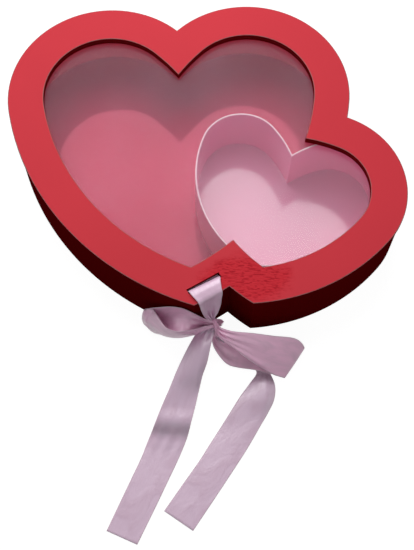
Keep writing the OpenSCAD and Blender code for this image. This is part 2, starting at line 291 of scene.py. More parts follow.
class Finish:
    """A finish of one of the box's materials: a Principled shader that a subclass feeds."""

    name: str

    def build(self, effects: Effects) -> bpy.types.Material:
        """Makes the material.

        Args:
            effects: The shared node groups.

        Returns:
            The material.
        """
        made = bpy.data.materials.new(self.name)
        made.use_nodes = True
        g = Graph(made.node_tree)
        shader = made.node_tree.nodes["Principled BSDF"]
        self.wire(g, shader, effects)
        return made

    def wire(self, g: Graph, shader: bpy.types.Node, effects: Effects) -> None:
        """Feeds the shader. Each finish has its own."""
        raise NotImplementedError

    @staticmethod
    def paper(g: Graph, effects: Effects, colour: Colour, fibre: float, cloud: float, spread: float,
              ) -> tuple[bpy.types.NodeSocket, bpy.types.NodeSocket, bpy.types.NodeSocket]:
        """Lays the shared grain over a colour.

        Args:
            g: The material's graph.
            effects: The shared node groups.
            colour: The sheet's colour.
            fibre: The scale of its fibres.
            cloud: The scale of its slow drift.
            spread: How far its tone drifts.

        Returns:
            The place on the sheet, the colour with its drift, and the fibres' height.
        """
        place = g.add("TexCoord").outputs["Object"]
        feeds = {"Vector": place, "Fibre scale": fibre, "Cloud scale": cloud, "Spread": spread}
        grain = g.add("Group", feeds, node_tree=effects.grain)
        toned = g.mix(1.0, (*colour, 1), g.grey(grain.outputs["Tone"]), "MULTIPLY")
        return place, toned, grain.outputs["Height"]

    @staticmethod
    def fold_mask(g: Graph, effects: Effects, place: bpy.types.NodeSocket) -> bpy.types.NodeSocket:
        """Gives the mask of the lighter line along the folds that a mesh marks, which is partly wear and
        partly painted highlight.
        """
        fold = g.add("Attribute", attribute_name="fold").outputs["Fac"]
        return g.add("Group", {"Fold": fold, "Vector": place}, node_tree=effects.fold_wear_and_highlight).outputs["Mask"]


@dataclass(frozen=True)
class WrapFinish(Finish):
    """Smooth paper wrap over board, with a lighter line along its folds that is partly wear and partly
    painted highlight, and crinkles in one place with painted shade in their creases.

    The crinkled place and its reach are in metres.
    """

    name: str
    colour: Colour
    wear_and_highlight: Colour
    specular: float
    roughness: float = 0.5
    crinkled: float = 0.0
    crinkle_at: Point = (0.052, -0.150, 0.056)
    crinkle_reach: Point = (0.036, 0.022, 0.05)
    crinkle_scale: float = 250.0
    crinkle_tint: float = 0.7

    def wire(self, g: Graph, shader: bpy.types.Node, effects: Effects) -> None:
        """Feeds colour, roughness and bump from the grain, the folds and the crinkled patch."""
        place, colour, fibres = self.paper(g, effects, self.colour, fibre=1100.0, cloud=11.0, spread=0.1)
        rough = g.ramp(fibres, 0.2, 0.8, self.roughness - 0.04, self.roughness + 0.06)
        normal = g.bump(fibres, strength=0.16, distance=0.00012)
        if self.crinkled:
            colour, normal = self.crinkle(g, effects, place, colour, normal)
        # The lighter line along the folds: partly wear, partly painted highlight.
        colour = g.mix(self.fold_mask(g, effects, place), colour, (*self.wear_and_highlight, 1))
        g.feed(shader, {"Base Color": colour, "Roughness": rough, "Normal": normal,
                        "Specular IOR Level": self.specular})

    def crinkle(self, g: Graph, effects: Effects, place: bpy.types.NodeSocket, colour: bpy.types.NodeSocket,
                normal: bpy.types.NodeSocket) -> tuple[bpy.types.NodeSocket, bpy.types.NodeSocket]:
        """Lays the crinkles over one ragged patch of the wrap, with painted shade in their creases.

        Args:
            g: The material's graph.
            effects: The shared node groups.
            place: The place on the sheet.
            colour: The wrap's colour so far.
            normal: Its normal so far.

        Returns:
            The colour and the normal with the crinkles.
        """
        shift = g.add("VectorMath", {0: place, 1: self.crinkle_at}, operation="SUBTRACT").outputs[0]
        share = g.add("VectorMath", {0: shift, 1: self.crinkle_reach}, operation="DIVIDE").outputs[0]
        away = g.add("VectorMath", {0: share}, operation="LENGTH").outputs["Value"]
        ragged = g.math("ADD", away, g.math("MULTIPLY", g.noise(place, 70.0, detail=3.0), 0.7))
        patch = g.ramp(ragged, 1.35, 0.95)
        creases = g.add("Group", {"Vector": place, "Scale": self.crinkle_scale}, node_tree=effects.creases)
        shade = g.math("MULTIPLY", g.math("MULTIPLY", creases.outputs["Shade"], patch), self.crinkled)
        red, green, blue = self.colour
        # The patch takes a redder tint, and its creases a darker tone that is painted shade.
        full, deep = (red, green * 0.45, blue * 0.55, 1), (red * 0.6, green * 0.1, blue * 0.25, 1)
        colour = g.mix(g.math("MULTIPLY", patch, self.crinkle_tint), colour, full)
        colour = g.mix(g.math("MULTIPLY", shade, self.crinkle_tint), colour, deep)
        dents = g.math("MULTIPLY", creases.outputs["Height"], patch)
        return colour, g.bump(dents, strength=0.55, distance=0.0008, normal=normal)


@dataclass(frozen=True)
class GlossCardFinish(Finish):
    """Card with a glossy coat: a colour that drifts slowly, and a faint waviness that bends reflections."""

    name: str
    colour: Colour
    wear_and_highlight: Colour
    roughness: float
    specular: float
    metallic: float = 0.0
    spread: float = 0.08

    def wire(self, g: Graph, shader: bpy.types.Node, effects: Effects) -> None:
        """Feeds colour, roughness and bump from the grain, the waves of the sheet and the lighter line along
        its folded edges, which is partly wear and partly painted highlight.
        """
        place, toned, fibres = self.paper(g, effects, self.colour, fibre=700.0, cloud=16.0,
                                           spread=self.spread)
        # The lighter line along the folds: partly wear, partly painted highlight.
        colour = g.mix(self.fold_mask(g, effects, place), toned, (*self.wear_and_highlight, 1))
        rough = g.ramp(fibres, 0.2, 0.8, self.roughness - 0.03, self.roughness + 0.05)
        fine = g.bump(fibres, strength=0.05, distance=0.0001)
        waved = g.bump(g.noise(place, 22.0, detail=1.0), strength=0.25, distance=0.0012, normal=fine)
        g.feed(shader, {"Base Color": colour, "Roughness": rough, "Normal": waved,
                        "Specular IOR Level": self.specular, "Metallic": self.metallic})


@dataclass(frozen=True)
class BareBoardFinish(Finish):
    """Bare grey board: a matt, speckled fibre surface."""

    name: str = "bare_board"
    colour: Colour = (0.45, 0.36, 0.26)
    speck: Colour = (0.2, 0.15, 0.1)
    roughness: float = 0.85

    def wire(self, g: Graph, shader: bpy.types.Node, effects: Effects) -> None:
        """Feeds colour and bump from the grain and some darker specks."""
        place, toned, fibres = self.paper(g, effects, self.colour, fibre=600.0, cloud=25.0, spread=0.2)
        specks = g.ramp(g.noise(place, 1500.0, detail=1.0), 0.62, 0.72)
        colour = g.mix(g.math("MULTIPLY", specks, 0.5), toned, (*self.speck, 1))
        normal = g.bump(fibres, strength=0.4, distance=0.0002)
        g.feed(shader, {"Base Color": colour, "Normal": normal, "Roughness": self.roughness})


@dataclass(frozen=True)
class FilmFinish(Finish):
    """Clear film: a faint milky veil, a painted reflection of the bright room, that grows where it is seen
    aslant, with slack waves.
    """

    name: str = "window_film"
    colour: Colour = (0.88, 0.73, 0.94)
    clear: float = 0.058
    aslant: float = 0.5
    haze: float = 0.012
    roughness: float = 0.07
    specular: float = 0.5

    def wire(self, g: Graph, shader: bpy.types.Node, effects: Effects) -> None:
        """Feeds the alpha from the view's slant and the normal from the slack of the film."""
        place = g.add("TexCoord").outputs["Object"]
        facing = g.add("LayerWeight", {"Blend": 0.35}).outputs["Facing"]
        haze = g.ramp(g.noise(place, 9.0), 0.3, 0.7, -self.haze, self.haze)
        # The alpha lays a pale layer over what lies below: a painted reflection, stronger aslant.
        alpha = g.math("ADD", g.ramp(facing, 0.25, 1.0, self.clear, self.aslant), haze)
        slack = g.bump(g.noise(place, 11.0, detail=1.0), strength=0.2, distance=0.002)
        g.feed(shader, {"Alpha": alpha, "Normal": slack, "Base Color": (*self.colour, 1),
                        "Roughness": self.roughness, "Specular IOR Level": self.specular})


@dataclass(frozen=True)
class SatinFinish(Finish):
    """Single-faced satin: fine lengthwise floats, soft crush marks and a tight woven edge.

    Its pattern follows the ribbon's own UV map, in metres across and along. It is plain in its colour, and
    darker in its streaks and crush marks, partly a tone at random and partly painted shade in their creases.
    Where a run says so it is pinker, which is painted pink bounce light; where a tail turns to the front it
    is darker, which is painted shade.
    """

    name: str
    colour: Colour
    deep: Colour
    edge: Colour
    painted_bounce_colour: Colour
    shaded: Colour
    width: float = 0.025
    roughness: float = 0.36
    ior: float = 1.6
    specular: float = 0.85
    sheen: float = 0.2
    sheen_roughness: float = 0.4
    shade_share: float = 0.6
    streak_share: float = 0.16
    crush_share: float = 0.42
    edge_share: float = 0.85

    def wire(self, g: Graph, shader: bpy.types.Node, effects: Effects) -> None:
        """Feeds colour, roughness and bump from the weave, the crush marks and the selvedge."""
        along = g.add("UVMap", uv_map="ribbon").outputs[0]
        split = g.add("SeparateXYZ", {0: along})
        across = g.math("DIVIDE", split.outputs["X"], self.width)
        threads = g.noise(g.place(along, scale=(1.0, 0.03, 1.0)), 5200.0, detail=1.0)
        streaks = g.noise(g.place(along, scale=(1.0, 0.12, 1.0)), 420.0, detail=3.0, rough=0.6)
        crush = g.noise(g.place(along, turn=0.5, scale=(1.0, 0.55, 1.0)), 85.0, detail=3.0, warp=0.6)
        middle = g.math("ABSOLUTE", g.math("SUBTRACT", across, 0.5))
        selvedge = g.ramp(middle, 0.468, 0.484)
        painted_bounce = g.add("Attribute", attribute_name="painted_bounce").outputs["Fac"]
        turned = g.add("Attribute", attribute_name="turned").outputs["Fac"]
        deep = (*self.deep, 1)
        # Pinker where a run says so: painted pink bounce light.
        plain = g.mix(painted_bounce, (*self.colour, 1), (*self.painted_bounce_colour, 1))
        # Darker where a tail turns to the front: painted shade.
        plain = g.mix(g.math("MULTIPLY", turned, self.shade_share), plain, (*self.shaded, 1))
        # Darker in the streaks and crush marks: partly a tone at random, partly painted shade in the
        # creases.
        body = g.mix(g.ramp(streaks, 0.35, 0.75, to_high=self.streak_share), plain, deep)
        body = g.mix(g.ramp(crush, 0.45, 0.68, to_high=self.crush_share), body, deep)
        colour = g.mix(g.math("MULTIPLY", selvedge, self.edge_share), body, (*self.edge, 1))
        rough = g.ramp(streaks, 0.3, 0.7, self.roughness - 0.05, self.roughness + 0.08)
        fine = g.bump(threads, strength=0.12, distance=0.00006)
        crushed = g.math("ADD", crush, g.math("MULTIPLY", streaks, 0.15))
        soft = g.bump(crushed, strength=0.5, distance=0.0014, normal=fine)
        woven = g.bump(selvedge, strength=0.5, distance=0.00015, normal=soft)
        g.feed(shader, {"Base Color": colour, "Roughness": rough, "Normal": woven, "IOR": self.ior,
                        "Specular IOR Level": self.specular, "Sheen Weight": self.sheen,
                        "Sheen Roughness": self.sheen_roughness})


@dataclass(frozen=True)
class StudioFloorFinish(Finish):
    """The white studio floor: it looks white and keeps a soft shadow."""

    name: str = "studio_floor"
    glow: float = 0.94
    grey: float = 0.2
    roughness: float = 0.9

    def wire(self, g: Graph, shader: bpy.types.Node, effects: Effects) -> None:
        """Adds a glow that only the camera and reflections see."""
        g.feed(shader, {"Base Color": (self.grey, self.grey, self.grey, 1), "Roughness": self.roughness,
                        "Specular IOR Level": 0.0, "Emission Color": (1, 1, 1, 1),
                        "Emission Strength": g.math("MULTIPLY", g.seen(), self.glow)})


class Finishes:
    """All the materials of the box, made once."""

    def __init__(self) -> None:
        """Builds each finish."""
        effects = Effects()

        def make(finish: Finish) -> bpy.types.Material:
            """Builds one finish with the shared groups."""
            return finish.build(effects)

        # For the wraps and cards, the second colour is the lighter line along their folds: partly wear,
        # partly painted highlight.
        self.lit_wrap = make(WrapFinish("lit_red_wrap", (0.61, 0.040, 0.056), (0.36, 0.14, 0.14),
                                        specular=0.06, crinkled=1.0))
        # The walls, rims and underside are the same red paper as the lid's top; this far darker copy of it
        # is painted shade.
        self.dark_wrap = make(WrapFinish("shaded_red_wrap", (0.125, 0.0015, 0.0022), (0.16, 0.012, 0.012),
                                         roughness=0.6, specular=0.0))
        # The window's cut edge and the lower board: another darker copy of the red paper, painted shade.
        self.shaded_cut_wrap = make(WrapFinish("shaded_window_edge_wrap", (0.12, 0.0015, 0.003), (0.2, 0.012, 0.015),
                                        roughness=0.6, specular=0.0))
        self.foil = make(GlossCardFinish("red_foil_card", (0.51, 0.028, 0.082), (0.6, 0.15, 0.2),
                                         roughness=0.07, metallic=0.08, specular=0.13))
        # The lining is the same red foil card as the floor: this brighter copy is painted light.
        self.foil_lit_lining = make(GlossCardFinish("red_foil_lit_lining", (0.92, 0.045, 0.145), (0.8, 0.19, 0.24),
                                              roughness=0.07, metallic=0.3, specular=0.13))
        self.pink = make(GlossCardFinish("pink_gloss_card", (0.75, 0.30, 0.45), (0.9, 0.66, 0.72),
                                         roughness=0.12, specular=0.75, spread=0.04))
        # The tray's walls are the same pink card as its floor: this deeper, redder copy paints the shade and
        # the red bounce light on them.
        self.pink_shaded_wall = make(GlossCardFinish("pink_wall_shade_and_bounce", (0.92, 0.29, 0.48), (0.9, 0.6, 0.68),
                                              roughness=0.3, specular=0.2, spread=0.05))
        self.pink_edge = make(GlossCardFinish("pink_cut_edge", (0.92, 0.66, 0.72), (0.95, 0.72, 0.77),
                                              roughness=0.6, specular=0.2, spread=0.05))
        self.board = make(BareBoardFinish())
        self.film = make(FilmFinish())
        # The satin's colours: plain, darker for streaks and crush creases (partly painted shade), the woven
        # edge, a painted pink bounce light, and a painted shade for tails turned to the front.
        self.satin = make(SatinFinish("mauve_satin", (0.70, 0.50, 0.65), (0.52, 0.32, 0.44),
                                      (0.68, 0.47, 0.58), (0.90, 0.49, 0.70), (0.30, 0.20, 0.29)))
        self.floor = make(StudioFloorFinish())


@dataclass
class BoardPiece:
    """A board or strip of the frame with its long edges folded over softly, in place of its CAD node.

    The fold is a radius in millimetres. Without a material of its own, the underside has that of the sides.
    """

    node: str
    body: Body
    slot: Slot
    fold: float
    top: bpy.types.Material
    side: bpy.types.Material
    under: bpy.types.Material | None = None
    flat_slope: float = 0.98
    top_slope: float = 0.6

    def merged(self) -> bmesh.types.BMesh:
        """Copies the CAD mesh, with its loose triangles joined into whole faces."""
        bm = bmesh.new()
        bm.from_mesh(frame["nodes"][self.node].data)
        bmesh.ops.remove_doubles(bm, verts=bm.verts, dist=WELD)
        bmesh.ops.dissolve_limit(bm, angle_limit=FLAT_BEND, verts=bm.verts, edges=bm.edges)
        return bm

    def long_edges(self, bm: bmesh.types.BMesh) -> list[bmesh.types.BMEdge]:
        """Finds the edges that run along the board, without those across its ends."""
        def is_end(face: bmesh.types.BMFace) -> bool:
            """Tells whether a face closes one end of the board."""
            sides = [e for e in face.edges if abs(e.verts[0].co.z - e.verts[1].co.z) > UPRIGHT_RISE]
            return abs(face.normal.z) < 0.1 and all(
                len(e.link_faces) == 2 and e.calc_face_angle(0) > CORNER_BEND for e in sides)

        ends = {f for f in bm.faces if is_end(f)}
        return [e for e in bm.edges if len(e.link_faces) == 2 and e.calc_face_angle(0) > EDGE_BEND
                and abs(e.verts[0].co.z - e.verts[1].co.z) < LEVEL_RISE
                and not any(f in ends for f in e.link_faces)]

    def build(self) -> bpy.types.Object:
        """Rounds the long edges, marks them as folds and gives each face its material.

        Returns:
            The piece, riding on its body and standing for its node.
        """
        bm = self.merged()
        folded = bm.loops.layers.float.new("fold")
        rounded = bmesh.ops.bevel(bm, geom=self.long_edges(bm), offset=self.fold * MM, segments=3,
                                  profile=0.5, affect="EDGES", material=-1, clamp_overlap=True)
        folds = set(rounded["faces"])
        for face in bm.faces:
            up = face.normal.z
            face.smooth = abs(up) <= self.flat_slope
            # Faces that face up take the top material, upright ones the side one and those that face down
            # the under one; on the lid's boards the darker of these copies of the red wrap is painted shade.
            face.material_index = 0 if up > self.top_slope else 2 if up < -self.top_slope else 1
            for loop in face.loops:
                loop[folded] = 1.0 if face in folds else 0.0
        for edge in bm.edges:
            ours = [f in folds for f in edge.link_faces]
            edge.smooth = len(ours) == 2 and ours[0] == ours[1] and edge.calc_face_angle(0) < SMOOTH_BEND
        mesh = bpy.data.meshes.new(self.node + "_wrapped")
        bm.to_mesh(mesh)
        bm.free()
        mesh.materials.append(self.top)
        mesh.materials.append(self.side)
        mesh.materials.append(self.under or self.side)
        made = piece(self.node + "_wrapped", mesh)
        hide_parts(self.node)
        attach(made, self.body.value)
        report(made)
        return made


@dataclass
class Base:
    """The base: floor, foil, walls and their lining."""

    finishes: Finishes

    def dress(self) -> None:
        """Finishes the flat sheets, and builds the walls and linings with folded edges."""
        wrap, lining = self.finishes.dark_wrap, self.finishes.foil_lit_lining
        dress_node("underside_sheet", wrap)
        dress_node("floor_board", self.finishes.board)
        dress_node("floor_foil", self.finishes.foil)
        for strip in STRIPS:
            # The walls wear the darker copy of the red wrap, which is painted shade.
            BoardPiece("wall_" + strip, Body.BASE, Slot.DARK_WRAP, 0.4, wrap, wrap).build()
            # The lining wears the brighter copy of the foil card: painted light.
            BoardPiece("lining_" + strip, Body.BASE, Slot.FOIL_CARD, 0.3, lining, lining).build()


@dataclass
class Lid:
    """The lid: two frame boards, the film between them and the room below, and the deep rim."""

    finishes: Finishes

    def dress(self) -> None:
        """Builds the boards and the rim with folded edges, and makes the film clear."""
        lit, shaded_wrap, cut = self.finishes.lit_wrap, self.finishes.dark_wrap, self.finishes.shaded_cut_wrap
        # The upper board's top wears the lit red wrap, and its upright faces, the window's cut edge among
        # them, a darker copy of it: painted shade.
        BoardPiece("lid_upper_board", Body.LID, Slot.RED_WRAP, 0.6, lit, cut).build()
        BoardPiece("lid_lower_board", Body.LID, Slot.RED_WRAP, 0.35, cut, cut, lit).build()
        dress_node("lid_window_film", self.finishes.film)
        for strip in STRIPS:
            # The rim wears the darker copy of the red wrap, which is painted shade.
            BoardPiece("rim_" + strip, Body.LID, Slot.DARK_WRAP, 0.35, shaded_wrap, shaded_wrap).build()


@dataclass
class Tray:
    """The loose heart tray of pink card, with its pale cut edge."""

    finishes: Finishes

    def dress(self) -> None:
        """Finishes the floor, and builds the two bent walls with a pale edge on top."""
        dress_node("tray_floor", self.finishes.pink)
        for side in ("left", "right"):
            # The walls wear the deeper pink copy of the card: painted shade and bounce light.
            BoardPiece("tray_wall_" + side, Body.TRAY, Slot.PINK_CARD, 0.25, self.finishes.pink_edge,
                       self.finishes.pink_shaded_wall).build()


def dress_node(node: str, material: bpy.types.Material) -> None:
    """Gives a CAD node that keeps its shape its finish.

    Args:
        node: The node's name.
        material: Its new material.
    """
    mesh = frame["nodes"][node].data
    mesh.materials.clear()
    mesh.materials.append(material)
    log.info("%s: CAD node, %s", node, material.name)


@dataclass(frozen=True)
class Row:
    """One cross-section of a run of ribbon, in millimetres.

    The bulge lifts its middle along the run's normal, and stands at a share `ridge` of its width. The
    pleats are waves across it, the curl lifts its two edges, and the roll lifts a narrow band along the
    right edge.
    """

    left: Point
    right: Point
    bulge: float = 0.0
    ridge: float = 0.5
    pleat: float = 0.0
    curl: float = 0.0
    roll: float = 0.0

    def shape(self) -> tuple[float, ...]:
        """Gives its numbers in one line, so that rows can be blended."""
        return (*self.left, *self.right, self.bulge, self.ridge, self.pleat, self.curl, self.roll)


def between(rows: Sequence[tuple[float, ...]], t: float) -> tuple[float, ...]:
    """Blends rows of numbers along a Catmull-Rom curve.

    Args:
        rows: The rows.
        t: The place among them, from 0 to the last row's number.

    Returns:
        The blended row.
    """
    i = min(int(t), len(rows) - 2)
    f = t - i
    a, b, c, d = (rows[min(max(i + k, 0), len(rows) - 1)] for k in (-1, 0, 1, 2))
    return tuple((2 * q + (r - p) * f + (2 * p - 5 * q + 4 * r - s) * f * f
                  + (3 * q - p - 3 * r + s) * f * f * f) / 2 for p, q, r, s in zip(a, b, c, d))


@dataclass
class RibbonRun:
    """One run of the satin ribbon, swept through its rows.

    Its steps are those from one row to the next, and its waves are those of the pleats across it. Length,
    thickness, width and the lowest height of its middle sheet are in millimetres. One share gives it the
    pinker tone, a painted pink bounce light, and another says how much it darkens where it turns to the
    front, a painted shade.
    """

    name: str
    nodes: tuple[str, ...]
    rows: tuple[Row, ...]
    length: float
    hold: Hold
    rests_on: tuple[str, ...]
    steps: int
    across: int = 28
    waves: float = 3.0
    thick: float = 0.35
    width: float = 25.0
    lowest: float = 0.45
    painted_bounce: float = 0.0
    turns: float = 0.0
    ridge_margin: float = 0.08
    pleat_start: float = 0.6
    roll_at: float = 0.8
    roll_reach: float = 0.16
    edge_power: int = 6

    def lift(self, u: float, bulge: float, ridge: float, pleat: float, curl: float, roll: float) -> float:
        """Works out how far the sheet stands off the straight line across it.

        Args:
            u: The share of the width, from the left edge.
            bulge: The height of its middle.
            ridge: The share of the width where the middle stands.
            pleat: The height of its waves.
            curl: The height of its two edges.
            roll: The height of the band along its right edge.

        Returns:
            The lift in millimetres, along the run's normal.
        """
        ridge = min(max(ridge, self.ridge_margin), 1 - self.ridge_margin)
        side = u / ridge if u < ridge else (1 - u) / (1 - ridge)
        s = 2 * u - 1
        edges = s ** self.edge_power
        lift = bulge * math.sin(side * math.pi / 2)
        lift += pleat * math.sin(self.waves * math.pi * s + self.pleat_start) * (1 - edges)
        lift += curl * edges + roll * math.exp(-((s - self.roll_at) / self.roll_reach) ** 2)
        return lift

    def surface(self) -> tuple[list[list[Vector]], list[float]]:
        """Works out where the ribbon's points lie.

        Returns:
            The points, row by row in metres, and the length along the ribbon to each row.
        """
        shapes = [r.shape() for r in self.rows]
        count = (len(shapes) - 1) * self.steps
        dense = [between(shapes, i / self.steps) for i in range(count + 1)]
        mids = [(Vector(d[0:3]) + Vector(d[3:6])) / 2 for d in dense]
        lines, lengths = [], [0.0]
        for i, d in enumerate(dense):
            left, right = Vector(d[0:3]), Vector(d[3:6])
            ahead = mids[min(i + 1, count)] - mids[max(i - 1, 0)]
            normal = ahead.cross(right - left).normalized()
            line = []
            for k in range(self.across + 1):
                u = k / self.across
                p = left.lerp(right, u) + normal * self.lift(u, *d[6:11])
                line.append(Vector((p.x, p.y, max(p.z, self.lowest))) * MM)
            lines.append(line)
            if i:
                lengths.append(lengths[-1] + (mids[i] - mids[i - 1]).length * MM)
        return lines, lengths

    def build(self, satin: bpy.types.Material) -> bpy.types.Object:
        """Lays a grid through the rows and gives it the ribbon's thickness.

        Args:
            satin: The ribbon's material.

        Returns:
            The piece.
        """
        lines, lengths = self.surface()
        bm = bmesh.new()
        uv = bm.loops.layers.uv.new("ribbon")
        painted_bounce = bm.verts.layers.float.new("painted_bounce")
        turned = bm.verts.layers.float.new("turned")
        grid = bmesh.ops.create_grid(bm, x_segments=self.across, y_segments=len(lines) - 1, size=0.5,
                                     calc_uvs=False)
        cell: dict[bmesh.types.BMVert, tuple[int, int]] = {}
        for vert in grid["verts"]:
            k = round((vert.co.x + 0.5) * self.across)
            i = round((vert.co.y + 0.5) * (len(lines) - 1))
            cell[vert] = (i, k)
            vert.co = lines[i][k]
            # Each point carries the run's share of the pinker tone: painted pink bounce light.
            vert[painted_bounce] = self.painted_bounce
        bm.normal_update()
        # Points of the tails that face the front get a share of the darker tone: painted shade.
        for vert in bm.verts:
            forward = -vert.normal.y * math.copysign(2.0, vert.normal.z)
            vert[turned] = self.turns * min(max(forward, 0.0), 1.0)
        for face in bm.faces:
            face.smooth = True
            for loop in face.loops:
                i, k = cell[loop.vert]
                loop[uv].uv = (k / self.across * self.width * MM, lengths[i])
        mesh = bpy.data.meshes.new(self.name)
        bm.to_mesh(mesh)
        bm.free()
        mesh.materials.append(satin)
        made = piece(self.name, mesh)
        thicken = made.modifiers.new("thickness", "SOLIDIFY")
        thicken.thickness = self.thick * MM
        thicken.offset = 0.0
        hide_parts(*self.nodes)
        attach(made, Body.LID.value)
        list(self.rests_on)
        log.info("%s: %.0f mm long along its middle", self.name, lengths[-1] / MM)
        report(made)
        return made


@dataclass(frozen=True)
class FrontEdge:
    """The lid's short front edge: its middle, and its turn from the X axis, in millimetres and degrees."""

    middle: tuple[float, float] = (27.39, -163.46)
    turn: float = 31.32

    def at(self, along: float, into: float, height: float) -> Point:
        """Gives the place of a point along the edge, into the lid and above the ground."""
        c, s = math.cos(math.radians(self.turn)), math.sin(math.radians(self.turn))
        return (self.middle[0] + along * c - into * s, self.middle[1] + along * s + into * c, height)


